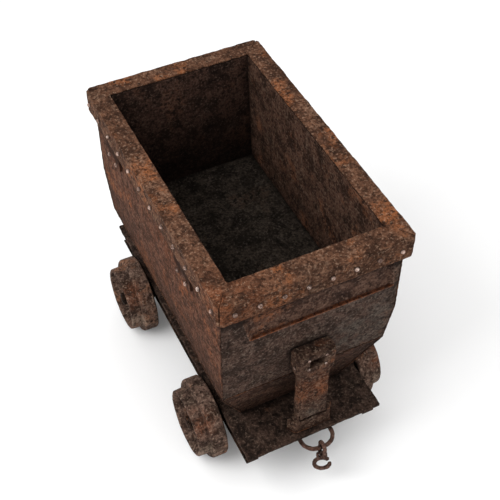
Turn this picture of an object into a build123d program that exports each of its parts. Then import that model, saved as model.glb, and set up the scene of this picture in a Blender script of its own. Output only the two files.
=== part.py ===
"""End-tipping mine cart: a double-skinned steel tub on a flat deck with four flanged wheels.

Millimetres, +Z up. X runs across the track and Y along it. The draw hook hangs at the near
end (-Y), and the tub tips over its shaft at the far end (+Y). Lengths below are measured from the
middle of the wheelbase. The finished pieces are moved along Y so that the origin is on the
floor under the middle of the cart's overall length. Each file in parts/ is one named piece.
"""
import os
from math import cos, radians, sin, tan

from build123d import *

# ---------------------------------------------------------------- driving dimensions
GAUGE = 610                 # between the inner faces of the rails
WHEELBASE = 590
FLANGE_RADIUS = 138         # the cart stands on its flanges on a flat floor
TREAD_RADIUS = 115.5
DECK_LENGTH = 1120
DECK_WIDTH = 478
DECK_TOP = 234
RIM_LENGTH = 1016
RIM_WIDTH = 612
RIM_TOP = 955
TUB_CENTRE_Y = -12          # the tub stands a little towards the draw hook

# ---------------------------------------------------------------- fits and gaps
CONTACT_GAP = 0.4           # between pieces that rest close together but move apart
RUNNING_FIT = 0.05          # radial, journal in bush and pin in eye
JOINT_GAP = 1.0             # side play of a hinge between its cheeks

# ---------------------------------------------------------------- wheels and axles
TREAD_INNER_X = GAUGE / 2 - 5
TREAD_WIDTH = 40
FLANGE_WIDTH = 53
WHEEL_OUTER_X = TREAD_INNER_X + TREAD_WIDTH
WHEEL_INNER_X = TREAD_INNER_X - FLANGE_WIDTH
WHEEL_Y = WHEELBASE / 2
AXLE_Z = FLANGE_RADIUS
AXLE_RADIUS = 18
HUB_OUTER_X = WHEEL_OUTER_X - 24
RIM_SHELL = 12              # thickness of the wheel's rim under the tread
WEB_OUTER_X = WHEEL_OUTER_X - 52
WEB_INNER_X = WEB_OUTER_X - 18
HUB_RADIUS = 38
THREAD_RADIUS = 14
AXLE_END_X = WHEEL_OUTER_X - 3
WASHER_RADIUS = 30
WASHER_THICKNESS = 4
AXLE_NUT_FLATS = 41
AXLE_NUT_RADIUS = 22.5      # the nut's corners are turned down to this
AXLE_NUT_THICKNESS = 14
AXLE_NUT_SLOT = 4

# ---------------------------------------------------------------- underframe
DECK_THICKNESS = 16
DECK_BOTTOM = DECK_TOP - DECK_THICKNESS
SILL_HEIGHT = 50
SILL_BOTTOM = DECK_BOTTOM - SILL_HEIGHT
SILL_WEB_X = 190            # inner face of the web
SILL_WEB = 6
SILL_FLANGE_X = 232
SILL_FLANGE = 7
SILL_LENGTH = DECK_LENGTH - 50
CROSS_WIDTH = 40
CROSS_WALL = 5
CROSS_Y = (-455, 455)
BLOCK_HALF_LENGTH = 56
BLOCK_EAR = 13
BLOCK_BOSS_RADIUS = 30
BOLT_RADIUS = 6
BOLT_Y = 44
BOLT_X = 215
BOLT_FLATS = 19
BOLT_HEAD = 8
BOLT_NUT = 11
COLLAR_RADIUS = 27

# ---------------------------------------------------------------- tub
PLATE = 4
RIM_PLATE = 8
BAND_HEIGHT = 78
BAND_BOTTOM = RIM_TOP - BAND_HEIGHT
PLATE_TOP = RIM_TOP - RIM_PLATE
RIM_CHAMFER = 14
RIM_SIDE_WIDTH = 65
RIM_NEAR_WIDTH = 80
RIM_FAR_WIDTH = 64
OPENING_HALF_X = RIM_WIDTH / 2 - RIM_SIDE_WIDTH
OPENING_NEAR_Y = TUB_CENTRE_Y - RIM_LENGTH / 2 + RIM_NEAR_WIDTH
OPENING_FAR_Y = TUB_CENTRE_Y + RIM_LENGTH / 2 - RIM_FAR_WIDTH
# outside of the tub: height, half width and half length at each bend
BOTTOM_THICKNESS = 6
TUB_FOOT = (DECK_TOP + CONTACT_GAP + BOTTOM_THICKNESS, 182, 381)
TUB_WAIST = (455, 276.5, 451.5)
TUB_KNEE = (630, 286.5, 475)
TUB_HEAD = (PLATE_TOP, 286.5, 475)
FLOOR_TOP = 498
LINER_FLARE_X = 18          # how far each liner leans out between the rim and the floor
LINER_FLARE_NEAR = 12
LINER_FLARE_FAR = 3

# ---------------------------------------------------------------- rivets
RIVET_SHANK = 4
RIVET_HEAD = 7
RIVET_HEIGHT = 8
BAND_RIVET_Z = BAND_BOTTOM + BAND_HEIGHT / 2
SIDE_RIVETS = 12
SIDE_RIVET_SPAN = 940
END_RIVETS = 8
END_RIVET_SPAN = 514

# ---------------------------------------------------------------- tipping gear
TIP_Y = 425
TIP_Z = 262
TIP_PIN_RADIUS = 11
TIP_EYE_RADIUS = 21
TIP_X = 120
LUG_THICKNESS = 14
CHEEK_THICKNESS = 10
CHEEK_RADIUS = 19
CHEEK_HALF_TOP = 18
CHEEK_TOE = 30
CHEEK_HEEL = 46
BRACKET_FOOT = 8            # thickness of the foot that joins the two cheeks
TIP_COLLAR_RADIUS = 17
TIP_COLLAR_WIDTH = 10

# ---------------------------------------------------------------- latch post
POST_Y = -523
POST_PIVOT_Z = 300
SHOE_WIDTH = 120
SHOE_DEPTH = 30
EAR_THICKNESS = 12
POST_PIN_RADIUS = 6
POST_WIDTH = 106
POST_THICKNESS = 30
HEAD_WIDTH = 132
HEAD_BOTTOM = 534
HEAD_TOP = 616
HEAD_FRONT_Y = -540
HEAD_BACK_Y = -488
SHAFT_X = -6                # the shaft stands a little to the left of the head
SLOT_X = -2
SLOT_WIDTH = 46
SLOT_HEIGHT = 32
SLOT_Z = 576
HEAD_RIVET_RADIUS = 4.5
HEAD_RIVET_HEIGHT = 4
HEAD_RIVET_SHANK = 2.5
HEAD_RIVET_GRIP = 20
HEAD_RIVET_X = SLOT_WIDTH / 2 + 6
HEAD_RIVET_ZS = (SLOT_Z - 17, SLOT_Z + 25)
STUD_LENGTH = 14

# ---------------------------------------------------------------- draw gear
BAIL_ROD = 7
BAIL_Z = DECK_BOTTOM - BAIL_ROD
BAIL_HALF_WIDTH = 54
BAIL_NOSE_Y = -606
BAIL_TAIL_Y = -492
BAIL_BEND = 44
KEEPER_HALF_LENGTH = BAIL_HALF_WIDTH + 26
KEEPER_Y = (BAIL_TAIL_Y - 30, BAIL_TAIL_Y + 6)
KEEPER_TOP = BAIL_Z - BAIL_ROD
KEEPER_BOTTOM = KEEPER_TOP - 8
KEEPER_BOLT_RADIUS = 5
KEEPER_BOLT_FLATS = 16
KEEPER_BOLT_HEAD = 7
KEEPER_BOLT_XS = (12 - KEEPER_HALF_LENGTH, 0, KEEPER_HALF_LENGTH - 12)
LINK_ROD = 6.5
LINK_BEND = 14.5
LINK_PITCH = 36             # between the centres of the link's two bows
LINK_LOW_Z = BAIL_Z - LINK_PITCH
HOOK_PIVOT_Z = LINK_LOW_Z - LINK_BEND
HOOK_TURN = -26             # degrees about the vertical from the cart's width to the hook's
HOOK_CENTRE = (3.3, HOOK_PIVOT_Z - 50)    # set over so that the hook hangs plumb
HOOK_MOUTH = (-8, 50)       # degrees above level between which the hook is open
HOOK_BEND_X = 25            # half width and half height of the oval bend, to mid bar
HOOK_BEND_Z = 32
HOOK_HALF_WIDTH = 6
HOOK_HALF_THICKNESS = 4.5
HOOK_EYE_HOLE = 11.5
HOOK_EYE_RADIUS = 18

# ---------------------------------------------------------------- origin
NEAR_END_Y = BAIL_NOSE_Y - LINK_BEND - LINK_ROD
FAR_END_Y = DECK_LENGTH / 2
ORIGIN_Y = (NEAR_END_Y + FAR_END_Y) / 2

os.makedirs("parts", exist_ok=True)


def save(name, *solids):
    """Write one named piece, or one group of identical fasteners, as parts/NAME.step."""
    placed = [Pos(0, -ORIGIN_Y, 0) * solid for solid in solids]
    shape = placed[0] if len(placed) == 1 else Compound(children=placed)
    export_step(shape, f"parts/{name}.step")


def slab(x_range, y_range, z_range):
    """A rectangular block between two corners."""
    size = [high - low for low, high in (x_range, y_range, z_range)]
    middle = [(high + low) / 2 for low, high in (x_range, y_range, z_range)]
    return Pos(*middle) * Box(*size)


def span(a, b):
    """The two values in rising order."""
    return (min(a, b), max(a, b))


def rod_x(radius, x_from, x_to, y, z):
    """A round bar along X."""
    length = abs(x_to - x_from)
    return Pos((x_from + x_to) / 2, y, z) * Rot(0, 90, 0) * Cylinder(radius, length)


def rod_z(radius, x, y, z_from, z_to):
    """A round bar along Z."""
    return Pos(x, y, (z_from + z_to) / 2) * Cylinder(radius, abs(z_to - z_from))


def prism_x(outline, x_from, x_to):
    """A (y, z) outline carried along X."""
    face = make_face(Polyline(*[(x_from, y, z) for y, z in outline], close=True))
    return extrude(face, amount=x_to - x_from, dir=(1, 0, 0))


def prism_z(outline, z_from, z_to):
    """An (x, y) outline carried up Z."""
    face = make_face(Polyline(*[(x, y, z_from) for x, y in outline], close=True))
    return extrude(face, amount=z_to - z_from, dir=(0, 0, 1))


def spin_x(profile):
    """An (x, radius) outline turned about the X axis."""
    face = make_face(Polyline(*[(x, 0, r) for x, r in profile], close=True))
    return revolve(face, axis=Axis.X)


def between(low_outline, low_z, high_outline, high_z):
    """A solid with flat sides from one (x, y) outline to another above it."""
    low = make_face(Polyline(*[(x, y, low_z) for x, y in low_outline], close=True))
    high = make_face(Polyline(*[(x, y, high_z) for x, y in high_outline], close=True))
    return loft([low, high], ruled=True)


def rivet(length, radius=RIVET_HEAD, height=RIVET_HEIGHT, shank_radius=RIVET_SHANK):
    """A button-head rivet: the head's flat side is at z = 0 and the shank runs down."""
    head = Cylinder(radius, height, align=(Align.CENTER, Align.CENTER, Align.MIN))
    head = fillet(head.edges().group_by(Axis.Z)[-1], height * 0.8)
    shank = Pos(0, 0, -length / 2) * Cylinder(shank_radius, length)
    return head + shank


def hexagon_x(across_flats, x_from, x_to, y, z):
    """A hexagon bar along X, for nuts."""
    sketch = RegularPolygon(across_flats / 2, 6, major_radius=False)
    bar = extrude(sketch, amount=abs(x_to - x_from))
    return Pos(min(x_from, x_to), y, z) * Rot(0, 90, 0) * bar


def hexagon_z(across_flats, x, y, z_from, z_to):
    """A hexagon bar along Z, for bolt heads."""
    bar = extrude(RegularPolygon(across_flats / 2, 6, major_radius=False), amount=z_to - z_from)
    return Pos(x, y, z_from) * bar


# ================================================================ wheels and axles
def wheel():
    """A cast wheel on the right-hand side, with its axis on the X axis."""
    lip = TREAD_RADIUS - RIM_SHELL
    bore = AXLE_RADIUS + RUNNING_FIT
    profile = [
        (WHEEL_INNER_X, bore),
        (WHEEL_INNER_X, HUB_RADIUS),
        (WEB_INNER_X, HUB_RADIUS + 4),
        (WEB_INNER_X, lip - 4),
        (WHEEL_INNER_X, lip + 4),
        (WHEEL_INNER_X, FLANGE_RADIUS - 3),
        (WHEEL_INNER_X + 3, FLANGE_RADIUS),
        (TREAD_INNER_X - 6, FLANGE_RADIUS),
        (TREAD_INNER_X, FLANGE_RADIUS - 5),
        (TREAD_INNER_X, TREAD_RADIUS + 2),
        (WHEEL_OUTER_X - 3, TREAD_RADIUS),
        (WHEEL_OUTER_X, TREAD_RADIUS - 3),
        (WHEEL_OUTER_X, lip),
        (WHEEL_OUTER_X - 4, lip - 2),
        (WEB_OUTER_X, lip - 10),
        (WEB_OUTER_X, HUB_RADIUS + 4),
        (HUB_OUTER_X, HUB_RADIUS),
        (HUB_OUTER_X, bore),
    ]
    return spin_x(profile)


def axle():
    """A dead axle: plain journals, with a threaded neck at each end."""
    shoulder = HUB_OUTER_X + CONTACT_GAP
    body = Rot(0, 90, 0) * Cylinder(AXLE_RADIUS, 2 * shoulder)
    neck = Rot(0, 90, 0) * Cylinder(THREAD_RADIUS, 2 * AXLE_END_X)
    return body + neck


def axle_washer(side):
    """The ring between the hub and its nut."""
    inner = side * (HUB_OUTER_X + CONTACT_GAP)
    outer = inner + side * WASHER_THICKNESS
    return rod_x(WASHER_RADIUS, inner, outer, 0, 0) - rod_x(THREAD_RADIUS, inner, outer, 0, 0)


def axle_nut(side):
    """A slotted nut on the axle's neck, inside the dish of the wheel."""
    inner = side * (HUB_OUTER_X + CONTACT_GAP + WASHER_THICKNESS)
    outer = inner + side * AXLE_NUT_THICKNESS
    nut = hexagon_x(AXLE_NUT_FLATS, inner, outer, 0, 0)
    nut &= rod_x(AXLE_NUT_RADIUS, inner, outer, 0, 0)
    nut -= rod_x(THREAD_RADIUS, inner, outer, 0, 0)
    slot_x = span(outer - side * AXLE_NUT_SLOT, outer)
    slot_z = (-AXLE_NUT_SLOT / 2, AXLE_NUT_SLOT / 2)
    for turn in (0, 60, 120):
        nut -= Rot(turn, 0, 0) * slab(slot_x, (-AXLE_NUT_FLATS, AXLE_NUT_FLATS), slot_z)
    return nut


def axle_collar(side):
    """The ring shrunk on the axle that keeps the wheel off its block."""
    inner = side * SILL_FLANGE_X
    outer = side * (WHEEL_INNER_X - CONTACT_GAP)
    return rod_x(COLLAR_RADIUS, inner, outer, 0, 0) - rod_x(AXLE_RADIUS, inner, outer, 0, 0)


def axle_block(side):
    """A cast block under the sill that clamps the axle."""
    ear_low = SILL_BOTTOM - BLOCK_EAR
    foot = BLOCK_HALF_LENGTH
    boss = BLOCK_BOSS_RADIUS
    x_low, x_high = span(side * SILL_WEB_X, side * SILL_FLANGE_X)
    outline = [(-foot, ear_low), (-foot, SILL_BOTTOM), (foot, SILL_BOTTOM), (foot, ear_low),
               (boss, ear_low), (boss, AXLE_Z), (-boss, AXLE_Z), (-boss, ear_low)]
    block = prism_x(outline, x_low, x_high) + rod_x(boss, x_low, x_high, 0, AXLE_Z)
    block -= rod_x(AXLE_RADIUS, x_low, x_high, 0, AXLE_Z)
    for y in (-BOLT_Y, BOLT_Y):
        block -= rod_z(BOLT_RADIUS, side * BOLT_X, y, ear_low - 1, SILL_BOTTOM)
    return block


def block_bolt(x, y):
    """A bolt down through the sill's flange and the block's ear, with its nut below."""
    top = SILL_BOTTOM + SILL_FLANGE
    low = SILL_BOTTOM - BLOCK_EAR
    thread_end = low - BOLT_NUT - 5
    bolt = rod_z(BOLT_RADIUS, x, y, thread_end, top)
    bolt += hexagon_z(BOLT_FLATS, x, y, top, top + BOLT_HEAD)
    bolt += hexagon_z(BOLT_FLATS, x, y, low - BOLT_NUT, low)
    return bolt


SIDES = (("left", -1), ("right", 1))
ENDS = (("near", -1), ("far", 1))

right_wheel = wheel()
washers = []
nuts = []
collars = []
for end_name, end in ENDS:
    here = Pos(0, end * WHEEL_Y, AXLE_Z)
    save(f"axle_{end_name}", here * axle())
    washers += [here * axle_washer(side) for side in (-1, 1)]
    nuts += [here * axle_nut(side) for side in (-1, 1)]
    collars += [here * axle_collar(side) for side in (-1, 1)]
    for side_name, side in SIDES:
        turned = Rot(0, 0, 0) if side > 0 else Rot(0, 0, 180)
        save(f"wheel_{end_name}_{side_name}", here * turned * right_wheel)
        save(f"axle_block_{end_name}_{side_name}", Pos(0, end * WHEEL_Y, 0) * axle_block(side))

save("axle_washers", *washers)
save("axle_nuts", *nuts)
save("axle_collars", *collars)

bolts = []
for _, end in ENDS:
    for _, side in SIDES:
        for y in (-BOLT_Y, BOLT_Y):
            bolts.append(block_bolt(side * BOLT_X, end * WHEEL_Y + y))
save("axle_block_bolts", *bolts)


# ================================================================ underframe
def deck():
    """The flat plate that everything stands on or hangs from."""
    half_x = DECK_WIDTH / 2
    half_y = DECK_LENGTH / 2
    plate = slab((-half_x, half_x), (-half_y, half_y), (DECK_BOTTOM, DECK_TOP))
    return chamfer(plate.edges().group_by(Axis.Z)[-1], 2)


def sill(side):
    """A channel along one side of the deck, open outwards."""
    x_low, x_high = span(side * SILL_WEB_X, side * SILL_FLANGE_X)
    y_range = (-SILL_LENGTH / 2, SILL_LENGTH / 2)
    bar = slab((x_low, x_high), y_range, (SILL_BOTTOM, DECK_BOTTOM))
    groove_x = span(side * (SILL_WEB_X + SILL_WEB), side * SILL_FLANGE_X)
    bar -= slab(groove_x, y_range, (SILL_BOTTOM + SILL_FLANGE, DECK_BOTTOM - SILL_FLANGE))
    for _, end in ENDS:
        for y in (end * WHEEL_Y - BOLT_Y, end * WHEEL_Y + BOLT_Y):
            bar -= rod_z(BOLT_RADIUS, side * BOLT_X, y, SILL_BOTTOM, SILL_BOTTOM + SILL_FLANGE)
    return bar


def cross_member(y):
    """A channel between the sills, open downwards."""
    x_range = (-SILL_WEB_X, SILL_WEB_X)
    outer = CROSS_WIDTH / 2
    inner = outer - CROSS_WALL
    bar = slab(x_range, (y - outer, y + outer), (SILL_BOTTOM, DECK_BOTTOM))
    return bar - slab(x_range, (y - inner, y + inner), (SILL_BOTTOM, DECK_BOTTOM - CROSS_WALL))


save("deck_plate", deck())
for side_name, side in SIDES:
    save(f"sill_{side_name}", sill(side))
for name, y in zip(("near", "far"), CROSS_Y):
    save(f"cross_member_{name}", cross_member(y))


# ================================================================ tub
def tub_outline(level, inset=0):
    """The four corners of the tub's outside at one bend, counter-clockwise from near left."""
    _, half_x, half_y = level
    x = half_x - inset
    y = half_y - inset
    return [(-x, TUB_CENTRE_Y - y), (x, TUB_CENTRE_Y - y), (x, TUB_CENTRE_Y + y), (-x, TUB_CENTRE_Y + y)]


def mitred(outer, inner, first):
    """The plan of one wall between two outlines, from a corner to the next."""
    second = (first + 1) % 4
    return [outer[first], outer[second], inner[second], inner[first]]


def wall(levels, first_corner):
    """One wall of the tub, from a corner to the next, mitred to its neighbours."""
    joined = None
    for low, high in zip(levels, levels[1:]):
        low_plan = mitred(tub_outline(low), tub_outline(low, PLATE), first_corner)
        high_plan = mitred(tub_outline(high), tub_outline(high, PLATE), first_corner)
        piece = between(low_plan, low[0], high_plan, high[0])
        joined = piece if joined is None else joined + piece
    return joined


WALL_CORNERS = {"near": 0, "right": 1, "far": 2, "left": 3}

# The panel set back under the near rim. Its opening leans to the right, as (x, z) corners.
PAN_DEPTH = 9
PAN_SHEET = 4
PAN_SILL_Z = 732
PAN_FRONT = [(-194, PAN_SILL_Z), (268, PAN_SILL_Z), (246, PLATE_TOP), (-246, PLATE_TOP)]
PAN_BACK = [(-182, PAN_SILL_Z), (260, PAN_SILL_Z), (238, PLATE_TOP), (-236, PLATE_TOP)]
NEAR_FACE_Y = TUB_CENTRE_Y - TUB_HEAD[2]


def grown(outline, by):
    """An (x, z) outline widened at both sides and at its foot."""
    middle = sum(x for x, _ in outline) / len(outline)
    moved = []
    for x, z in outline:
        wider = x + by if x > middle else x - by
        lower = z - by if z == PAN_SILL_Z else z
        moved.append((wider, lower))
    return moved


def pocket(front, back, depth):
    """The space from the tub's near face back to a smaller outline."""
    front_face = make_face(Polyline(*[(x, NEAR_FACE_Y, z) for x, z in front], close=True))
    back_face = make_face(Polyline(*[(x, NEAR_FACE_Y + depth, z) for x, z in back], close=True))
    return loft([front_face, back_face], ruled=True)


recess = pocket(PAN_FRONT, PAN_BACK, PAN_DEPTH)
pan_front_outside = grown(PAN_FRONT, PAN_SHEET)
pan_back_outside = grown(PAN_BACK, PAN_SHEET)
recess_with_pan = pocket(pan_front_outside, pan_back_outside, PAN_DEPTH + PAN_SHEET)
recess_pan = recess_with_pan - recess


def side_rivet_ys():
    """Places of the rivets along a side band."""
    pitch = SIDE_RIVET_SPAN / (SIDE_RIVETS - 1)
    return [TUB_CENTRE_Y - SIDE_RIVET_SPAN / 2 + pitch * index for index in range(SIDE_RIVETS)]


def end_rivet_xs():
    """Places of the rivets along an end band."""
    pitch = END_RIVET_SPAN / (END_RIVETS - 1)
    return [-END_RIVET_SPAN / 2 + pitch * index for index in range(END_RIVETS)]


CLEAT_Y = (-246, 304)       # middle of the near and the far cleat on each side
CLEAT_LENGTH = 112
CLEAT_THICKNESS = 9
CLEAT_BOTTOM = 782
CLEAT_CORNER = 16
CLEAT_RIVET_Z = 804
CLEAT_RIVET_PITCH = 57
CLEAT_GRIP = CLEAT_THICKNESS + PLATE


def cleat(side, y):
    """A riveted plate under the side band, with its lower corners cut off."""
    low = y - CLEAT_LENGTH / 2
    high = y + CLEAT_LENGTH / 2
    cut = CLEAT_CORNER
    outline = [(low, BAND_BOTTOM), (low, CLEAT_BOTTOM + cut), (low + cut, CLEAT_BOTTOM),
               (high - cut, CLEAT_BOTTOM), (high, CLEAT_BOTTOM + cut), (high, BAND_BOTTOM)]
    x_low, x_high = span(side * TUB_HEAD[1], side * (TUB_HEAD[1] + CLEAT_THICKNESS))
    plate = prism_x(outline, x_low, x_high)
    for rivet_y in cleat_rivet_ys(y):
        plate -= rod_x(RIVET_SHANK, x_low, x_high, rivet_y, CLEAT_RIVET_Z)
    return plate


def cleat_rivet_ys(y):
    return (y - CLEAT_RIVET_PITCH / 2, y + CLEAT_RIVET_PITCH / 2)


def outward_rivet(side, x, y, z, length):
    """A rivet in a side face, with its head outwards."""
    return Pos(side * x, y, z) * Rot(0, side * 90, 0) * rivet(length)


def endward_rivet(end, x, y, z, length):
    """A rivet in an end face, with its head outwards."""
    return Pos(x, y, z) * Rot(-end * 90, 0, 0) * rivet(length)


def drilled_wall(name):
    """An upper wall with the holes for its cleat rivets or the opening of the recess."""
    plate = wall([TUB_WAIST, TUB_KNEE, TUB_HEAD], WALL_CORNERS[name])
    if name == "near":
        return plate - recess_with_pan
    if name == "far":
        return plate
    side = -1 if name == "left" else 1
    x_low, x_high = span(side * (TUB_HEAD[1] - PLATE), side * TUB_HEAD[1])
    for cleat_y in CLEAT_Y:
        for y in cleat_rivet_ys(cleat_y):
            plate -= rod_x(RIVET_SHANK, x_low, x_high, y, CLEAT_RIVET_Z)
    return plate


for name, corner in WALL_CORNERS.items():
    save(f"tub_wall_{name}", drilled_wall(name))
save("recess_pan", recess_pan)


def hopper():
    """The welded foot of the tub: four slopes on a flat bottom that sits on the deck."""
    foot_z, foot_x, foot_y = TUB_FOOT
    waist_z = TUB_WAIST[0]
    outside = between(tub_outline(TUB_FOOT), foot_z, tub_outline(TUB_WAIST), waist_z)
    inside = between(tub_outline(TUB_FOOT, PLATE), foot_z, tub_outline(TUB_WAIST, PLATE), waist_z)
    bottom_y = (TUB_CENTRE_Y - foot_y, TUB_CENTRE_Y + foot_y)
    bottom = slab((-foot_x, foot_x), bottom_y, (foot_z - BOTTOM_THICKNESS, foot_z))
    return outside - inside + bottom


save("hopper", hopper())

for side_name, side in SIDES:
    for end_name, y in zip(("near", "far"), CLEAT_Y):
        save(f"cleat_{side_name}_{end_name}", cleat(side, y))
cleat_rivets = []
cleat_face_x = TUB_HEAD[1] + CLEAT_THICKNESS
for _, side in SIDES:
    for cleat_y in CLEAT_Y:
        for y in cleat_rivet_ys(cleat_y):
            cleat_rivets.append(outward_rivet(side, cleat_face_x, y, CLEAT_RIVET_Z, CLEAT_GRIP))
save("cleat_rivets", *cleat_rivets)


# ---------------------------------------------------------------- liner
def liner_outline(z, inset=0):
    """The four inner corners of the liner at one height, counter-clockwise from near left."""
    lean = (PLATE_TOP - z) / (PLATE_TOP - FLOOR_TOP)
    x = OPENING_HALF_X + LINER_FLARE_X * lean + inset
    near = OPENING_NEAR_Y - LINER_FLARE_NEAR * lean - inset
    far = OPENING_FAR_Y + LINER_FLARE_FAR * lean + inset
    return [(-x, near), (x, near), (x, far), (-x, far)]


LINER_FOOT = FLOOR_TOP - PLATE


def liner_wall(first_corner):
    """One inner plate of the tub, leaning out towards the floor."""
    low_plan = mitred(liner_outline(LINER_FOOT, PLATE), liner_outline(LINER_FOOT), first_corner)
    high_plan = mitred(liner_outline(PLATE_TOP, PLATE), liner_outline(PLATE_TOP), first_corner)
    return between(low_plan, LINER_FOOT, high_plan, PLATE_TOP)


for name, corner in WALL_CORNERS.items():
    save(f"liner_{name}", liner_wall(corner))
save("liner_floor", between(liner_outline(LINER_FOOT), LINER_FOOT, liner_outline(FLOOR_TOP), FLOOR_TOP))


# ---------------------------------------------------------------- between the two skins
def outside_half(z):
    """Half width and half length of the inner face of the tub's outer skin at one height."""
    levels = [TUB_FOOT, TUB_WAIST, TUB_KNEE, TUB_HEAD]
    for low, high in zip(levels, levels[1:]):
        if low[0] <= z <= high[0]:
            along = (z - low[0]) / (high[0] - low[0])
            half_x = low[1] + (high[1] - low[1]) * along - PLATE
            half_y = low[2] + (high[2] - low[2]) * along - PLATE
            return half_x, half_y
    raise ValueError(z)


def skin_ring(z_low, z_high):
    """A ring of bar that holds the liner off the outer skin."""
    outer = []
    inner = []
    for z in (z_low, z_high):
        half_x, half_y = outside_half(z)
        near = TUB_CENTRE_Y - half_y
        far = TUB_CENTRE_Y + half_y
        outer.append([(-half_x, near), (half_x, near), (half_x, far), (-half_x, far)])
        inner.append(liner_outline(z, PLATE))
    outside = between(outer[0], z_low, outer[1], z_high)
    return outside - between(inner[0], z_low, inner[1], z_high)


RING_HEIGHT = 26
TOP_RING_Z = 846
BEARER_BOTTOM = LINER_FOOT - 38
BEARER_HALF_THICKNESS = 5
BEARER_PITCH = 250


def floor_bearer(y):
    """A flat bar on edge across the tub, under the liner's floor."""
    half_x = outside_half(BEARER_BOTTOM)[0]
    y_range = (y - BEARER_HALF_THICKNESS, y + BEARER_HALF_THICKNESS)
    return slab((-half_x, half_x), y_range, (BEARER_BOTTOM, LINER_FOOT))


save("skin_ring_top", skin_ring(TOP_RING_Z, TOP_RING_Z + RING_HEIGHT) - recess_with_pan)
save("skin_ring_bottom", skin_ring(FLOOR_TOP, FLOOR_TOP + RING_HEIGHT))
bearer_ys = [TUB_CENTRE_Y + index * BEARER_PITCH for index in (-1, 0, 1)]
save("floor_bearers", *[floor_bearer(y) for y in bearer_ys])


# ---------------------------------------------------------------- rim
RIM_NEAR_Y = TUB_CENTRE_Y - RIM_LENGTH / 2
RIM_FAR_Y = TUB_CENTRE_Y + RIM_LENGTH / 2
BAND_CORNER_INSET = RIM_CHAMFER - RIM_PLATE * 0.586   # keeps the band even round the corners


def cut_rectangle(half_x, near, far, cut, z_low, z_high):
    """An upright block with its four vertical corners cut off."""
    outline = [(-half_x + cut, near), (half_x - cut, near), (half_x, near + cut), (half_x, far - cut),
               (half_x - cut, far), (-half_x + cut, far), (-half_x, far - cut), (-half_x, near + cut)]
    return prism_z(outline, z_low, z_high)


def rim_ring():
    """The whole rim frame: a flat top and a band hanging from its outer edge."""
    half_x = RIM_WIDTH / 2
    frame = cut_rectangle(half_x, RIM_NEAR_Y, RIM_FAR_Y, RIM_CHAMFER, BAND_BOTTOM, RIM_TOP)
    frame -= cut_rectangle(half_x - RIM_PLATE, RIM_NEAR_Y + RIM_PLATE, RIM_FAR_Y - RIM_PLATE,
                           BAND_CORNER_INSET, BAND_BOTTOM, PLATE_TOP)
    x_range = (-OPENING_HALF_X, OPENING_HALF_X)
    frame -= slab(x_range, (OPENING_NEAR_Y, OPENING_FAR_Y), (PLATE_TOP, RIM_TOP))
    return frame


def rim_sector(name):
    """The part of the rim's plan that belongs to one bar, out to the mitre lines."""
    half_x = RIM_WIDTH / 2
    outer = [(-half_x, RIM_NEAR_Y), (half_x, RIM_NEAR_Y), (half_x, RIM_FAR_Y), (-half_x, RIM_FAR_Y)]
    plan = mitred(outer, liner_outline(PLATE_TOP), WALL_CORNERS[name])
    return prism_z(plan, BAND_BOTTOM, RIM_TOP)


def packing_ring():
    """The bar between the band and the tub's outer skin."""
    z_range = (BAND_BOTTOM + 3, PLATE_TOP - 5)
    ring = cut_rectangle(RIM_WIDTH / 2 - RIM_PLATE, RIM_NEAR_Y + RIM_PLATE, RIM_FAR_Y - RIM_PLATE,
                         BAND_CORNER_INSET, *z_range)
    half_x = TUB_HEAD[1]
    half_y = TUB_HEAD[2]
    ring -= slab((-half_x, half_x), (TUB_CENTRE_Y - half_y, TUB_CENTRE_Y + half_y), z_range)
    return ring


side_grip = RIM_WIDTH / 2 - TUB_HEAD[1]
end_grip = RIM_LENGTH / 2 - TUB_HEAD[2]
side_rivets = []
for _, side in SIDES:
    for y in side_rivet_ys():
        side_rivets.append(outward_rivet(side, RIM_WIDTH / 2, y, BAND_RIVET_Z, side_grip))
end_rivets = []
for _, end in ENDS:
    face_y = TUB_CENTRE_Y + end * RIM_LENGTH / 2
    for x in end_rivet_xs():
        end_rivets.append(endward_rivet(end, x, face_y, BAND_RIVET_Z, end_grip))
save("band_rivets_side", *side_rivets)
save("band_rivets_end", *end_rivets)

side_holes = []
for y in side_rivet_ys():
    side_holes.append(rod_x(RIVET_SHANK, -RIM_WIDTH / 2, RIM_WIDTH / 2, y, BAND_RIVET_Z))
end_hole = Rot(90, 0, 0) * Cylinder(RIVET_SHANK, RIM_LENGTH)
end_holes = [Pos(x, TUB_CENTRE_Y, BAND_RIVET_Z) * end_hole for x in end_rivet_xs()]
frame_ring = rim_ring() - side_holes - end_holes
for name in WALL_CORNERS:
    save(f"rim_{name}", frame_ring & rim_sector(name))
save("packing_ring", packing_ring() - side_holes - end_holes)


# ================================================================ tipping gear
def hopper_face_y(z):
    """Where the far slope of the tub's outside stands at one height."""
    along = (z - TUB_FOOT[0]) / (TUB_WAIST[0] - TUB_FOOT[0])
    return TUB_CENTRE_Y + TUB_FOOT[2] + (TUB_WAIST[2] - TUB_FOOT[2]) * along


def tub_lug(side):
    """The eye plate welded to the far slope of the tub."""
    x_low = side * TIP_X - LUG_THICKNESS / 2
    x_high = x_low + LUG_THICKNESS
    low = TIP_Z - 14
    high = TIP_Z + 62
    outline = [(hopper_face_y(low), low), (TIP_Y, TIP_Z - TIP_EYE_RADIUS), (TIP_Y + TIP_EYE_RADIUS, TIP_Z),
               (TIP_Y + 16, TIP_Z + 16), (hopper_face_y(high), high)]
    lug = prism_x(outline, x_low, x_high)
    lug += rod_x(TIP_EYE_RADIUS, x_low, x_high, TIP_Y, TIP_Z)
    return lug - rod_x(TIP_PIN_RADIUS + RUNNING_FIT, x_low, x_high, TIP_Y, TIP_Z)


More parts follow.
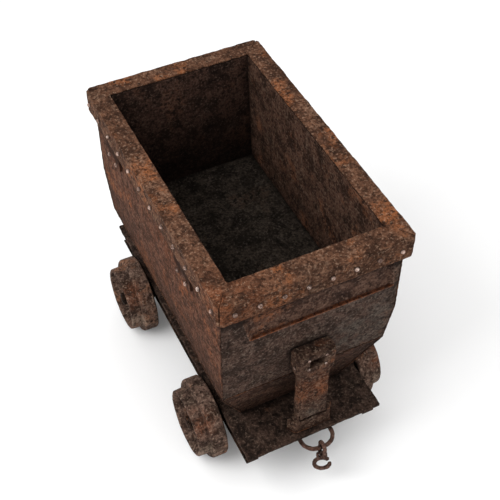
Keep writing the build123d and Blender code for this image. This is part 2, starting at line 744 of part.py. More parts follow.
def tip_bracket(side):
    """The fork on the deck that carries the tipping shaft, one cheek each side of the lug."""
    middle = side * TIP_X
    inner = (LUG_THICKNESS + JOINT_GAP) / 2
    outer = inner + CHEEK_THICKNESS
    toe = TIP_Y - CHEEK_TOE
    heel = TIP_Y + CHEEK_HEEL
    foot_top = DECK_TOP + BRACKET_FOOT
    shoulder = TIP_Z + 8
    outline = [(toe, DECK_TOP), (heel, DECK_TOP), (heel, foot_top), (TIP_Y + CHEEK_HALF_TOP, shoulder),
               (TIP_Y - CHEEK_HALF_TOP, shoulder), (toe, foot_top)]
    fork = slab((middle - outer, middle + outer), (heel - 20, heel), (DECK_TOP, foot_top))
    for direction in (-1, 1):
        x_low, x_high = span(middle + direction * inner, middle + direction * outer)
        fork += prism_x(outline, x_low, x_high)
        fork += rod_x(CHEEK_RADIUS, x_low, x_high, TIP_Y, TIP_Z)
    return fork - rod_x(TIP_PIN_RADIUS, middle - outer, middle + outer, TIP_Y, TIP_Z)


def tip_collar(side):
    """The ring on one end of the tipping shaft, outside its bracket."""
    inner = side * TIP_BRACKET_END
    outer = inner + side * TIP_COLLAR_WIDTH
    ring = rod_x(TIP_COLLAR_RADIUS, inner, outer, TIP_Y, TIP_Z)
    return ring - rod_x(TIP_PIN_RADIUS, inner, outer, TIP_Y, TIP_Z)


TIP_BRACKET_END = TIP_X + (LUG_THICKNESS + JOINT_GAP) / 2 + CHEEK_THICKNESS
TIP_SHAFT_END = TIP_BRACKET_END + TIP_COLLAR_WIDTH + 4

for side_name, side in SIDES:
    save(f"tub_lug_{side_name}", tub_lug(side))
    save(f"tip_bracket_{side_name}", tip_bracket(side))
save("tipping_collars", tip_collar(-1), tip_collar(1))
save("tipping_shaft", rod_x(TIP_PIN_RADIUS, -TIP_SHAFT_END, TIP_SHAFT_END, TIP_Y, TIP_Z))


# ================================================================ latch post
def latch_shoe():
    """The block on the deck, with an ear at each end that holds the post's pin."""
    half = SHOE_WIDTH / 2
    back = half + 20
    front_y = POST_Y - SHOE_DEPTH / 2
    back_y = POST_Y + SHOE_DEPTH / 2
    knuckle = POST_THICKNESS / 2
    seat_z = POST_PIVOT_Z - knuckle - 1
    outline = [(-half, front_y), (half, front_y), (back, back_y), (-back, back_y)]
    block = prism_z(outline, DECK_TOP, seat_z)
    for side in (-1, 1):
        x_low, x_high = span(side * (half - EAR_THICKNESS), side * half)
        ear = slab((x_low, x_high), (front_y, back_y), (seat_z, POST_PIVOT_Z))
        ear += rod_x(knuckle, x_low, x_high, POST_Y, POST_PIVOT_Z)
        block += ear
    return block - rod_x(POST_PIN_RADIUS, -half, half, POST_Y, POST_PIVOT_Z)


def latch_post():
    """The upright bar: a knuckle on the pin, a flat shaft and a slotted head."""
    inside = SHOE_WIDTH / 2 - EAR_THICKNESS - JOINT_GAP / 2
    half = POST_THICKNESS / 2
    knuckle = rod_x(half, -inside, inside, POST_Y, POST_PIVOT_Z)
    tongue_y = (POST_Y - half, POST_Y + half)
    shoulder_z = POST_PIVOT_Z + half + 1.5
    tongue = slab((-inside, inside), tongue_y, (POST_PIVOT_Z, shoulder_z))
    shaft_x = (SHAFT_X - POST_WIDTH / 2, SHAFT_X + POST_WIDTH / 2)
    shaft = slab(shaft_x, tongue_y, (shoulder_z, HEAD_BOTTOM))
    shaft = chamfer(shaft.edges().filter_by(Axis.Z), 3)
    head_half = HEAD_WIDTH / 2
    neck = between(rectangle_outline(shaft_x, tongue_y), HEAD_BOTTOM - 22,
                   rectangle_outline((-head_half, head_half), (HEAD_FRONT_Y, HEAD_BACK_Y)), HEAD_BOTTOM)
    head = slab((-head_half, head_half), (HEAD_FRONT_Y, HEAD_BACK_Y), (HEAD_BOTTOM, HEAD_TOP))
    head = chamfer(head.edges().filter_by(Axis.Z).group_by(Axis.Y)[0], 9)
    head = chamfer(head.edges().group_by(Axis.Z)[-1].filter_by(Axis.Y), 10)
    post = knuckle + tongue + shaft + neck + head
    post -= rod_x(POST_PIN_RADIUS + RUNNING_FIT, -inside, inside, POST_Y, POST_PIVOT_Z)
    post -= slab((SLOT_X - SLOT_WIDTH / 2, SLOT_X + SLOT_WIDTH / 2), (HEAD_FRONT_Y, HEAD_BACK_Y),
                 (SLOT_Z - SLOT_HEIGHT / 2, SLOT_Z + SLOT_HEIGHT / 2))
    return post - head_rivets() - side_stud()


def rectangle_outline(x_range, y_range):
    """The four (x, y) corners of a rectangle."""
    return [(x_range[0], y_range[0]), (x_range[1], y_range[0]), (x_range[1], y_range[1]), (x_range[0], y_range[1])]


def head_rivets():
    """The four small rivets round the slot."""
    small = rivet(HEAD_RIVET_GRIP, HEAD_RIVET_RADIUS, HEAD_RIVET_HEIGHT, HEAD_RIVET_SHANK)
    upright = Rot(90, 0, 0) * small
    columns = (SLOT_X - HEAD_RIVET_X, SLOT_X + HEAD_RIVET_X)
    return [Pos(x, HEAD_FRONT_Y, z) * upright for x in columns for z in HEAD_RIVET_ZS]


def side_stud():
    """The small stud in the left side of the head."""
    head = Cylinder(5, 4, align=(Align.CENTER, Align.CENTER, Align.MIN))
    head = fillet(head.edges().group_by(Axis.Z)[-1], 3)
    shank = Pos(0, 0, -STUD_LENGTH / 2) * Cylinder(3, STUD_LENGTH)
    return Pos(-HEAD_WIDTH / 2, POST_Y + 4, SLOT_Z - 14) * Rot(0, -90, 0) * (head + shank)


save("latch_shoe", latch_shoe())
save("latch_post", latch_post())
pin_half = SHOE_WIDTH / 2 + 5
save("latch_pin", rod_x(POST_PIN_RADIUS, -pin_half, pin_half, POST_Y, POST_PIVOT_Z))
save("latch_rivets", side_stud(), *head_rivets())


# ================================================================ draw gear
def bent_bar(path, radius, start_normal):
    """A round bar along a path."""
    start = path @ 0
    section = Plane(origin=start, z_dir=start_normal) * Circle(radius)
    return sweep(section, path=path)


def bail():
    """The U of round bar under the deck, with its nose out past the deck's edge."""
    tail_left = (-BAIL_HALF_WIDTH, BAIL_TAIL_Y, BAIL_Z)
    nose_left = (-BAIL_HALF_WIDTH, BAIL_NOSE_Y, BAIL_Z)
    nose_right = (BAIL_HALF_WIDTH, BAIL_NOSE_Y, BAIL_Z)
    tail_right = (BAIL_HALF_WIDTH, BAIL_TAIL_Y, BAIL_Z)
    path = FilletPolyline(tail_left, nose_left, nose_right, tail_right, radius=BAIL_BEND)
    return bent_bar(path, BAIL_ROD, (0, -1, 0))


def bail_keeper():
    """The plate that clamps the legs of the bail up against the deck."""
    half = KEEPER_HALF_LENGTH
    plate = slab((-half, half), KEEPER_Y, (KEEPER_BOTTOM, KEEPER_TOP))
    for x in KEEPER_BOLT_XS:
        plate -= rod_z(KEEPER_BOLT_RADIUS, x, sum(KEEPER_Y) / 2, KEEPER_BOTTOM, KEEPER_TOP)
    return plate


def keeper_bolt(x):
    """One of the bolts up through the keeper to the underside of the deck."""
    y = sum(KEEPER_Y) / 2
    shank = rod_z(KEEPER_BOLT_RADIUS, x, y, KEEPER_BOTTOM, DECK_BOTTOM)
    head_bottom = KEEPER_BOTTOM - KEEPER_BOLT_HEAD
    return shank + hexagon_z(KEEPER_BOLT_FLATS, x, y, head_bottom, KEEPER_BOTTOM)


def link():
    """The oval link round the nose of the bail."""
    reach = LINK_BEND + LINK_ROD + 1
    bow = Pos(0, BAIL_NOSE_Y, 0) * Rot(0, 90, 0) * Torus(LINK_BEND, LINK_ROD)
    around = slab((-reach, reach), (BAIL_NOSE_Y - reach, BAIL_NOSE_Y + reach), (0, reach))
    low_bow = (Pos(0, 0, LINK_LOW_Z) * bow) & (Pos(0, 0, LINK_LOW_Z - reach) * around)
    high_bow = (Pos(0, 0, BAIL_Z) * bow) & (Pos(0, 0, BAIL_Z) * around)
    ring = low_bow + high_bow
    for y in (BAIL_NOSE_Y - LINK_BEND, BAIL_NOSE_Y + LINK_BEND):
        ring += rod_z(LINK_ROD, 0, y, LINK_LOW_Z, BAIL_Z)
    return ring


def hook():
    """A flat open hook whose eye goes round the foot of the link."""
    turn = radians(HOOK_TURN)
    flat = Plane(origin=(0, BAIL_NOSE_Y, 0), x_dir=(cos(turn), sin(turn), 0), z_dir=(sin(turn), -cos(turn), 0))
    centre = Pos(*HOOK_CENTRE)
    outer = Ellipse(HOOK_BEND_X + HOOK_HALF_WIDTH, HOOK_BEND_Z + HOOK_HALF_WIDTH)
    inner = Ellipse(HOOK_BEND_X - HOOK_HALF_WIDTH, HOOK_BEND_Z - HOOK_HALF_WIDTH)
    reach = 3 * HOOK_BEND_Z
    low_slope, high_slope = [tan(radians(angle)) for angle in HOOK_MOUTH]
    mouth = make_face(Polyline((0, 0), (reach, reach * low_slope), (reach, reach * high_slope), close=True))
    tip = Pos(HOOK_BEND_X, HOOK_BEND_X * low_slope) * Circle(HOOK_HALF_WIDTH)
    eye = Pos(0, HOOK_PIVOT_Z) * Circle(HOOK_EYE_RADIUS)
    shape = centre * (outer - inner - mouth + tip) + eye - Pos(0, HOOK_PIVOT_Z) * Circle(HOOK_EYE_HOLE)
    return extrude(flat * shape, amount=HOOK_HALF_THICKNESS, both=True)


save("bail", bail())
save("bail_keeper", bail_keeper())
save("bail_keeper_bolts", *[keeper_bolt(x) for x in KEEPER_BOLT_XS])
save("link", link())
save("hook", hook())
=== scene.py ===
"""Looks of the rusted mine cart: worn edges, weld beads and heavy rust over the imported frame.

Metres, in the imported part's own frame: X across the track, Y along it, +Z up, and the draw
hook at the -Y end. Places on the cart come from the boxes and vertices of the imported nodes,
apart from the few heights and sizes that are named. Colours are linear red, green and blue.
"""

from math import cos, pi, radians, sin

import bmesh
import bpy
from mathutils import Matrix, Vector, noise


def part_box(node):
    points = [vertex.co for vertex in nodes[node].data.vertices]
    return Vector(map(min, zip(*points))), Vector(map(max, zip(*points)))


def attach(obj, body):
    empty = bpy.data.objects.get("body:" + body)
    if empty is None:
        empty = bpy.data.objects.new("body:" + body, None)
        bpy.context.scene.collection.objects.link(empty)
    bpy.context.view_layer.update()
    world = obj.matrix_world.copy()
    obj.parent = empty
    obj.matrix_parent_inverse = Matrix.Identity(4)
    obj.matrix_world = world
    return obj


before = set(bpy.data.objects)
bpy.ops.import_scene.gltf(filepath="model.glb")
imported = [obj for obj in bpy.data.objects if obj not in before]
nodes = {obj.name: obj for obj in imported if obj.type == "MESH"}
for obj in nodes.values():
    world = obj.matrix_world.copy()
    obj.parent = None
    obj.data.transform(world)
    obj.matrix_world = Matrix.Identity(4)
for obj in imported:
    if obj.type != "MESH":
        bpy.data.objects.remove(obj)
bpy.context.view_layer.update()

# ---------------------------------------------------------------- driving values
CAMERA_AZIMUTH = -25.95
CAMERA_ELEVATION = 47.59
CAMERA_DISTANCE = 3.216
CAMERA_TARGET = Vector((0, -0.049, 0.615))
CAMERA_LENS = 72.9

FLOOR_HALF = 14             # half the side of the stage floor
FLOOR_WHITE = 0.93
WORLD_WHITE = 0.95
LIGHT_AIM = (0, 0, 0.5)

PATCH_SIZE = 0.070          # sizes across of the features in the rust
RUN_SIZE = 0.045
SCUFF_SIZE = 0.035
SCALE_SIZE = 0.009
GRIT_SIZE = 0.004
ROUGHEST = 0.98             # roughness of the rust where it is dullest
SMOOTHEST = 0.76            # and where it is least dull
RUST_GLOSS = 0.06           # its specular level

MM = 0.001
KNEE_Z = 0.630              # where the tub's walls turn upright
RIM_CUT = 14 * MM           # how much is cut off each corner of the rim
PLAN_CORNERS = [(-1, -1), (1, -1), (1, 1), (-1, 1)]     # signs of X and Y, once round


# ---------------------------------------------------------------- shader helpers
class Shader:
    """One material, with short names for the nodes that it is built from."""

    def __init__(self, name):
        self.material = bpy.data.materials.new(name)
        self.material.use_nodes = True
        self.tree = self.material.node_tree
        self.bsdf = self.tree.nodes["Principled BSDF"]
        self.frame_coords = self.tree.nodes.new("ShaderNodeTexCoord").outputs["Object"]
        self.coords = self.frame_coords

    def add(self, kind, **settings):
        """A new node with some of its settings changed."""
        node = self.tree.nodes.new(kind)
        for key, value in settings.items():
            setattr(node, key, value)
        return node

    def feed(self, socket, value):
        """Link an output to a socket, or set the socket's own value."""
        if isinstance(value, bpy.types.NodeSocket):
            self.tree.links.new(value, socket)
        elif isinstance(value, (tuple, list)) and len(value) == 3 and socket.type == "RGBA":
            socket.default_value = (*value, 1)
        else:
            socket.default_value = value

    def times(self, first, second):
        """The product of two numbers, kept between 0 and 1."""
        node = self.add("ShaderNodeMath", operation="MULTIPLY", use_clamp=True)
        self.feed(node.inputs[0], first)
        self.feed(node.inputs[1], second)
        return node.outputs[0]

    def place(self, stretch=(1, 1, 1), shift=(0, 0, 0)):
        """The cart's coordinates at rest, stretched and shifted."""
        node = self.add("ShaderNodeMapping")
        self.feed(node.inputs["Vector"], self.frame_coords)
        self.feed(node.inputs["Scale"], stretch)
        self.feed(node.inputs["Location"], shift)
        return node.outputs[0]

    def noise(self, size, detail, roughness, vector=None):
        """Noise whose blotches are about size metres across."""
        node = self.add("ShaderNodeTexNoise")
        self.feed(node.inputs["Vector"], vector or self.coords)
        self.feed(node.inputs["Scale"], 0.5 / size)
        self.feed(node.inputs["Detail"], detail)
        self.feed(node.inputs["Roughness"], roughness)
        return node.outputs["Fac"]

    def step(self, value, low, high):
        """0 below low, 1 above high, and smooth between. Swapped limits turn it round."""
        node = self.add("ShaderNodeMapRange", interpolation_type="SMOOTHSTEP")
        self.feed(node.inputs["Value"], value)
        if low < high:
            limits = (low, high, 0, 1)
        else:
            limits = (high, low, 1, 0)
        for name, limit in zip(("From Min", "From Max", "To Min", "To Max"), limits):
            self.feed(node.inputs[name], limit)
        return node.outputs["Result"]

    def mix(self, share, first, second):
        """Two colours mixed by a share between 0 and 1. The numbered sockets are the colour ones."""
        node = self.add("ShaderNodeMix", data_type="RGBA", blend_type="MIX")
        self.feed(node.inputs[0], share)
        self.feed(node.inputs[6], first)
        self.feed(node.inputs[7], second)
        return node.outputs[2]

    def distance(self, place):
        """Distance in metres from a point of the cart at rest."""
        node = self.add("ShaderNodeVectorMath", operation="DISTANCE")
        self.feed(node.inputs[0], self.frame_coords)
        self.feed(node.inputs[1], tuple(place))
        return node.outputs["Value"]

    def height(self):
        """Height above the floor, in metres, at rest."""
        node = self.add("ShaderNodeSeparateXYZ")
        self.feed(node.inputs[0], self.frame_coords)
        return node.outputs["Z"]

    def edges(self, radius):
        """1 within about radius metres of a sharp edge or corner, and 0 on flat faces."""
        bevel = self.add("ShaderNodeBevel", samples=6)
        self.feed(bevel.inputs["Radius"], radius)
        geometry = self.add("ShaderNodeNewGeometry")
        across = self.add("ShaderNodeVectorMath", operation="DOT_PRODUCT")
        self.feed(across.inputs[0], bevel.outputs[0])
        self.feed(across.inputs[1], geometry.outputs["Normal"])
        turned = self.add("ShaderNodeMath", operation="SUBTRACT")
        self.feed(turned.inputs[0], 1.0)
        self.feed(turned.inputs[1], across.outputs["Value"])
        return self.step(turned.outputs[0], 0.03, 0.25)

    def open_air(self, reach):
        """1 out in the open, falling to 0 where other faces stand within reach metres."""
        node = self.add("ShaderNodeAmbientOcclusion", samples=6)
        self.feed(node.inputs["Distance"], reach)
        return node.outputs["AO"]

    def bump(self, height, depth, below=None):
        """A bump of a given depth in metres, on top of another bump."""
        node = self.add("ShaderNodeBump")
        self.feed(node.inputs["Distance"], depth)
        self.feed(node.inputs["Height"], height)
        if below is not None:
            self.feed(node.inputs["Normal"], below)
        return node.outputs["Normal"]


def darker(colour, share):
    """A colour scaled towards black."""
    return tuple(share * value for value in colour)


def add_grime_and_shade(steel, colour, deep, grime_and_shade, height_darkening):
    """A colour darkened by grime and painted shade where faces meet, and darkened between some heights.
    """
    # Ambient occlusion darkens the colour where other faces stand near: grime, and painted shade in
    # corners, creases, the wheels' dishes and round the rivets.
    for reach, open_level, shut_level in ((60 * MM, 0.80, 0.20), (18 * MM, 0.90, 0.45)):
        shut_in = steel.step(steel.open_air(reach), open_level, shut_level)
        colour = steel.mix(steel.times(shut_in, grime_and_shade), colour, darker(deep, 0.3))
    # Darker between the given heights: a painted shadow under the band, painted shade down the inside of
    # the tub, and darker towards the waist.
    for full_z, none_z, depth in height_darkening:
        darkened = steel.times(steel.step(steel.height(), none_z, full_z), depth)
        colour = steel.mix(darkened, colour, darker(deep, 0.4))
    return colour


def roughen_surface(steel, patches, blots, scale, grit, relief):
    """The rust's roughness, gloss and bumps, the bumps from the widest to the finest."""
    roughness = steel.add("ShaderNodeMapRange")
    steel.feed(roughness.inputs["Value"], blots)
    steel.feed(roughness.inputs["To Min"], ROUGHEST)
    steel.feed(roughness.inputs["To Max"], SMOOTHEST)
    steel.feed(steel.bsdf.inputs["Roughness"], roughness.outputs["Result"])
    steel.bsdf.inputs["Metallic"].default_value = 0.0
    steel.bsdf.inputs["Specular IOR Level"].default_value = RUST_GLOSS

    waves = steel.bump(patches, 20 * MM * relief)
    lumps = steel.bump(blots, 16 * MM * relief, waves)
    flakes = steel.bump(scale, 9.5 * MM * relief, lumps)
    sand = steel.bump(grit, 3 * MM * relief, flakes)
    steel.feed(steel.bsdf.inputs["Normal"], sand)


def rust(name, deep, body, warm, pale, blot=0.032, streak=0.0, warmth=0.5, wear=0.5, grime_and_shade=0.6,
         pale_share=0.3, relief=1.0, seed=(0, 0, 0), height_darkening=(), ledge=None, spots=()):
    """Heavily rusted steel: patches, blotches and gritty scale, pale scuffs, and grime with painted
    shade in the corners.

    deep, body, warm and pale are the colours of its dark blotches, plain rust, fresh rust and
    scuffs. blot is the size of the blotches in metres, streak the share of upright runs, warmth,
    wear, the grime with painted shade, and pale_share are shares from 0 to 1, relief scales the
    bumps, and seed shifts the pattern.
    Each height band of darkening is (height where it is full, height of none, depth), and ledge
    is (height of full colour, height of none, colour). Each of spots is (place, radius, colour).
    """
    steel = Shader(name)
    steel.coords = steel.place(shift=seed)
    patches = steel.noise(PATCH_SIZE, 6, 0.62)
    blots = steel.noise(blot, 6, 0.66)
    scale = steel.noise(SCALE_SIZE, 5, 0.72)
    grit = steel.noise(GRIT_SIZE, 3, 0.65)
    scuffs = steel.noise(SCUFF_SIZE, 8, 0.76, vector=steel.place(shift=(3.1, 1.7, 5.3)))

    colour = steel.mix(steel.step(blots, 0.38, 0.60), deep, body)
    warm_patches = steel.step(patches, 0.62 - 0.22 * warmth, 0.74 - 0.20 * warmth)
    warm_mask = steel.times(warm_patches, steel.step(scale, 0.36, 0.58))
    colour = steel.mix(warm_mask, colour, warm)
    for place, radius, spot_colour in spots:
        near = steel.step(steel.distance(place), radius, 0.2 * radius)
        ragged = steel.times(near, steel.step(scuffs, 0.38, 0.62))
        colour = steel.mix(steel.times(ragged, 0.65), colour, spot_colour)
    if streak > 0:
        runs = steel.noise(RUN_SIZE, 6, 0.62, vector=steel.place((3.2, 3.2, 0.45), seed))
        colour = steel.mix(steel.times(steel.step(runs, 0.50, 0.38), streak), colour, deep)
        colour = steel.mix(steel.times(steel.step(runs, 0.58, 0.70), 0.6 * streak), colour, pale)
    pale_mask = steel.times(steel.step(scuffs, 0.53, 0.64), steel.step(scale, 0.44, 0.56))
    colour = steel.mix(steel.times(pale_mask, pale_share), colour, pale)

    # The orange band at the foot of the pan is rust colour, and partly a painted highlight of the lit
    # ledge.
    if ledge is not None:
        low_z, high_z, ledge_colour = ledge
        on_ledge = steel.times(steel.step(steel.height(), high_z, low_z), steel.step(scuffs, 0.36, 0.50))
        colour = steel.mix(on_ledge, colour, ledge_colour)
    pits = steel.step(scale, 0.49, 0.37)
    colour = steel.mix(steel.times(pits, 0.85), colour, darker(deep, 0.4))
    colour = steel.mix(steel.times(steel.step(grit, 0.49, 0.37), 0.7), colour, darker(deep, 0.6))
    colour = steel.mix(steel.times(steel.step(grit, 0.56, 0.66), 0.5), colour, pale)

    worn = steel.times(steel.edges(4 * MM), steel.step(blots, 0.40, 0.56))
    colour = steel.mix(steel.times(worn, wear), colour, pale)
    colour = add_grime_and_shade(steel, colour, deep, grime_and_shade, height_darkening)
    steel.feed(steel.bsdf.inputs["Base Color"], colour)
    roughen_surface(steel, patches, blots, scale, grit, relief)
    return steel.material


# ---------------------------------------------------------------- places taken from the frame
def corner(name, across, along, height):
    """The corner of a node's box: -1 and +1 choose the low and the high side, 0 the middle."""
    low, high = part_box(name)
    shares = [(side + 1) / 2 for side in (across, along, height)]
    return Vector([a + (b - a) * share for a, b, share in zip(low, high, shares)])


def plan_corner(name, across, along, height):
    """The vertex of a node farthest one way in plan, at its foot (height -1) or its top (+1)."""
    low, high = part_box(name)
    level = low.z if height < 0 else high.z
    flat = [v.co for v in nodes[name].data.vertices if abs(v.co.z - level) < MM]
    return Vector(max(flat, key=lambda place: across * place.x + along * place.y))


rim_near_left = corner("rim_near", -1, -1, 1)
left_wall_top = corner("tub_wall_left", -1, -0.1, 0.7)
near_wall_right = corner("tub_wall_near", 0.75, -1, -0.5)
latch_middle = corner("latch_post", -0.1, -1, 0.0)
latch_foot = corner("latch_post", 0, -1, -0.75)
latch_top = corner("latch_post", 0, 0.3, 1)
pan_foot = corner("recess_pan", 0, 0, -1).z
band_bottom = corner("rim_near", 0, 0, -1).z
waist_height = corner("hopper", 0, 0, 1).z
# Heights of darkening: a painted shadow on the walls under the band, darker towards the waist of the
# side walls, and painted shade down the inside of the tub.
BAND_PAINTED_SHADOW = (band_bottom - 46 * MM, band_bottom - 74 * MM, 0.85)
WAIST_DARKENING = (waist_height, waist_height + 200 * MM, 0.5)
LINER_PAINTED_SHADE = (0.52, 0.90, 0.7)

ORANGE = (0.210, 0.062, 0.022)
GREY = (0.105, 0.090, 0.076)
SOOT = (0.014, 0.010, 0.009)
BARE_TREAD = (0.42, 0.31, 0.23)

tread_spots = []
for end_word in ("near", "far"):
    for side_word, side in (("left", -1), ("right", 1)):
        wheel = f"wheel_{end_word}_{side_word}"
        tread_spots.append((corner(wheel, 0.5 * side, -0.75, -0.1), 55 * MM, BARE_TREAD))
        tread_spots.append((corner(wheel, 0.5 * side, -0.55, 0.65), 75 * MM, ORANGE))

# ---------------------------------------------------------------- materials
materials = {
    "rim": rust("rim_rust", (0.048, 0.022, 0.013), (0.130, 0.060, 0.034), (0.250, 0.088, 0.034),
                (0.340, 0.215, 0.145), blot=0.022, warmth=0.4, wear=0.5, pale_share=0.30,
                spots=[(rim_near_left, 0.20, ORANGE)]),
    "side": rust("side_rust", (0.046, 0.019, 0.011), (0.124, 0.050, 0.028), (0.220, 0.070, 0.025),
                 (0.240, 0.140, 0.092), blot=0.024, streak=0.45, warmth=0.45, pale_share=0.25,
                 seed=(2.3, 0.7, 1.1), height_darkening=[WAIST_DARKENING, BAND_PAINTED_SHADOW],
                 spots=[(left_wall_top, 0.22, ORANGE)]),
    "hopper": rust("hopper_rust", (0.030, 0.015, 0.010), (0.078, 0.038, 0.025), (0.140, 0.052, 0.024),
                   (0.160, 0.105, 0.076), streak=0.3, warmth=0.3, pale_share=0.3, seed=(5.3, 0.2, 7.1)),
    # The end walls are darker and greyer than the side walls: partly their own colour, partly painted
    # shade of faces that the key light from the left hardly reaches.
    "front": rust("front_rust", (0.032, 0.019, 0.014), (0.088, 0.052, 0.039), (0.150, 0.064, 0.034),
                  (0.210, 0.155, 0.122), blot=0.024, streak=0.25, warmth=0.25, pale_share=0.3,
                  seed=(1.3, 0.2, 2.1), height_darkening=[BAND_PAINTED_SHADOW], spots=[(near_wall_right, 0.28, GREY)]),
    "pan": rust("pan_rust", (0.042, 0.022, 0.016), (0.120, 0.064, 0.044), (0.210, 0.080, 0.038),
                (0.240, 0.155, 0.115), warmth=0.3, pale_share=0.25, seed=(4.3, 2.2, 0.4),
                height_darkening=[BAND_PAINTED_SHADOW], ledge=(pan_foot + 5 * MM, pan_foot + 9 * MM, ORANGE)),
    # The inside of the tub is painted darker than the outside, and darker lower down: painted shade. The
    # right-hand liner, which the key light reaches over the rim, is a brighter copy: painted light.
    "liner": rust("liner_rust_painted_shade", (0.020, 0.011, 0.008), (0.066, 0.034, 0.024), (0.100, 0.046, 0.028),
                  (0.130, 0.085, 0.064), streak=0.3, warmth=0.3, wear=0.3, pale_share=0.2,
                  height_darkening=[LINER_PAINTED_SHADE], seed=(0.4, 3.2, 1.7)),
    "painted_lit_liner": rust("right_liner_rust_painted_light", (0.030, 0.015, 0.010), (0.105, 0.054, 0.036),
                      (0.175, 0.070, 0.036), (0.215, 0.145, 0.105), streak=0.35, warmth=0.4, wear=0.3,
                      pale_share=0.25, seed=(6.4, 3.2, 1.7)),
    # The tub's floor is near black: painted shade.
    "floor": rust("tub_floor_rust_painted_shade", (0.017, 0.013, 0.010), (0.050, 0.038, 0.029), (0.062, 0.040, 0.028),
                  (0.115, 0.092, 0.075), warmth=0.3, wear=0.2, pale_share=0.4, seed=(2.4, 0.2, 4.7)),
    "deck": rust("deck_rust", (0.018, 0.011, 0.008), (0.056, 0.033, 0.024), (0.115, 0.052, 0.029),
                 (0.160, 0.108, 0.080), blot=0.022, warmth=0.3, wear=0.55, pale_share=0.3,
                 seed=(5.2, 1.2, 0.3)),
    "under": rust("frame_rust", (0.016, 0.009, 0.006), (0.060, 0.032, 0.022), (0.110, 0.044, 0.022),
                  (0.130, 0.090, 0.066), warmth=0.4, seed=(3.2, 6.2, 0.3)),
    "latch": rust("latch_rust", (0.048, 0.026, 0.018), (0.120, 0.066, 0.045), (0.230, 0.080, 0.034),
                  (0.340, 0.235, 0.165), blot=0.016, warmth=0.4, wear=0.45, pale_share=0.35,
                  seed=(7.2, 0.6, 1.3), relief=1.3,
                  spots=[(latch_middle, 0.115, ORANGE), (latch_foot, 0.070, GREY),
                         (latch_top, 0.080, SOOT)]),
    # Strong grime and shade on the wheels paints shade into their deep dishes.
    "cast": rust("cast_rust", (0.044, 0.026, 0.019), (0.155, 0.094, 0.070), (0.260, 0.115, 0.060),
                 (0.380, 0.270, 0.200), blot=0.02, warmth=0.35, wear=0.5, grime_and_shade=0.95, pale_share=0.22,
                 seed=(0.2, 8.6, 2.3), spots=tread_spots),
    "draw": rust("draw_rust", (0.050, 0.026, 0.020), (0.140, 0.075, 0.055), (0.210, 0.100, 0.062),
                 (0.280, 0.190, 0.155), blot=0.014, warmth=0.3, wear=0.3, pale_share=0.3,
                 seed=(9.2, 4.6, 1.3)),
    # The rivets are painted pale: a painted highlight for their bright tips; full grime and shade round
    # them paints their shadows.
    "rivet": rust("rivet_rust_painted_highlight", (0.140, 0.085, 0.066), (0.480, 0.330, 0.270), (0.420, 0.250, 0.180),
                  (0.800, 0.660, 0.580), blot=0.012, warmth=0.2, wear=0.4, grime_and_shade=1.0,
                  pale_share=0.9, relief=0.4, seed=(1.2, 4.6, 6.3)),
    "weld": rust("weld_rust", (0.030, 0.014, 0.009), (0.090, 0.042, 0.026), (0.150, 0.058, 0.026),
                 (0.180, 0.120, 0.090), blot=0.012, warmth=0.4, pale_share=0.3, seed=(8.2, 2.6, 0.9)),
}


def finish_of(name):
    """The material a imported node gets."""
    if name.startswith(("rim_", "packing")):
        return "rim"
    if name in ("tub_wall_near", "tub_wall_far"):
        return "front"
    if name == "recess_pan":
        return "pan"
    if name == "liner_floor":
        return "floor"
    # The right-hand liner gets the brighter copy with painted light.
    if name == "liner_right":
        return "painted_lit_liner"
    if name.startswith(("liner_", "skin_ring")):
        return "liner"
    if "rivets" in name:
        return "rivet"
    if name.startswith(("hopper", "tub_lug")):
        return "hopper"
    if name.startswith(("tub_wall", "cleat")):
        return "side"
    if name == "deck_plate":
        return "deck"
    if name.startswith("latch"):
        return "latch"
    if name.startswith(("wheel", "axle_block")):
        return "cast"
    if name in ("bail", "link", "hook"):
        return "draw"
    return "under"


for name, node in nodes.items():
    node.data.materials.clear()
    node.data.materials.append(materials[finish_of(name)])


# ---------------------------------------------------------------- uneven forgings
def roughen(name, grid, lump, depth, inwards=0.75):
    """Makes a forged or eroded piece uneven: an even mesh of grid metres, pushed in and out.

    lump is the size of the lumps in metres, depth is how far the deepest and highest points
    stand apart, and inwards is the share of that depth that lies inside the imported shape.
    """
    node = nodes[name]
    even = node.modifiers.new("even", "REMESH")
    even.mode = "VOXEL"
    even.voxel_size = grid
    even.use_smooth_shade = True
    texture = bpy.data.textures.new(name + "_lumps", "CLOUDS")
    texture.noise_scale = lump
    texture.noise_depth = 2
    push = node.modifiers.new("lumps", "DISPLACE")
    push.texture = texture
    push.strength = depth
    push.mid_level = inwards


roughen("latch_post", 2.0 * MM, 22 * MM, 5 * MM)
roughen("latch_shoe", 2.5 * MM, 25 * MM, 4 * MM)
for name in ("bail", "link", "hook"):
    roughen(name, 1.2 * MM, 11 * MM, 2.2 * MM, inwards=0.5)
for name in nodes:
    if name.startswith("rim_"):
        roughen(name, 3 * MM, 30 * MM, 4 * MM)
    if name.startswith("wheel_"):
        roughen(name, 2.5 * MM, 30 * MM, 2 * MM)
roughen("deck_plate", 4 * MM, 35 * MM, 5 * MM)


def round_edges(name, width):
    """Takes the sharp edges off a plate or a bar."""
    node = nodes[name]
    weld = node.modifiers.new("join", "WELD")
    weld.merge_threshold = 0.02 * MM
    bevel = node.modifiers.new("worn", "BEVEL")
    bevel.width = width
    bevel.segments = 2
    bevel.limit_method = "ANGLE"
    bevel.angle_limit = radians(40)


for name in nodes:
    if name.startswith(("cleat_left", "cleat_right", "sill", "tub_lug", "tip_bracket", "cross")):
        round_edges(name, 1.5 * MM)


# ---------------------------------------------------------------- weld beads
BEAD_STEP = 2.5 * MM
BEAD_SIDES = 8
RIPPLE_LENGTH = 9 * MM      # of one ripple along a bead
RIPPLE_SHARE = 0.12         # of the radius
UNEVEN_LENGTH = 12 * MM
UNEVEN_SHARE = 0.45         # of the radius


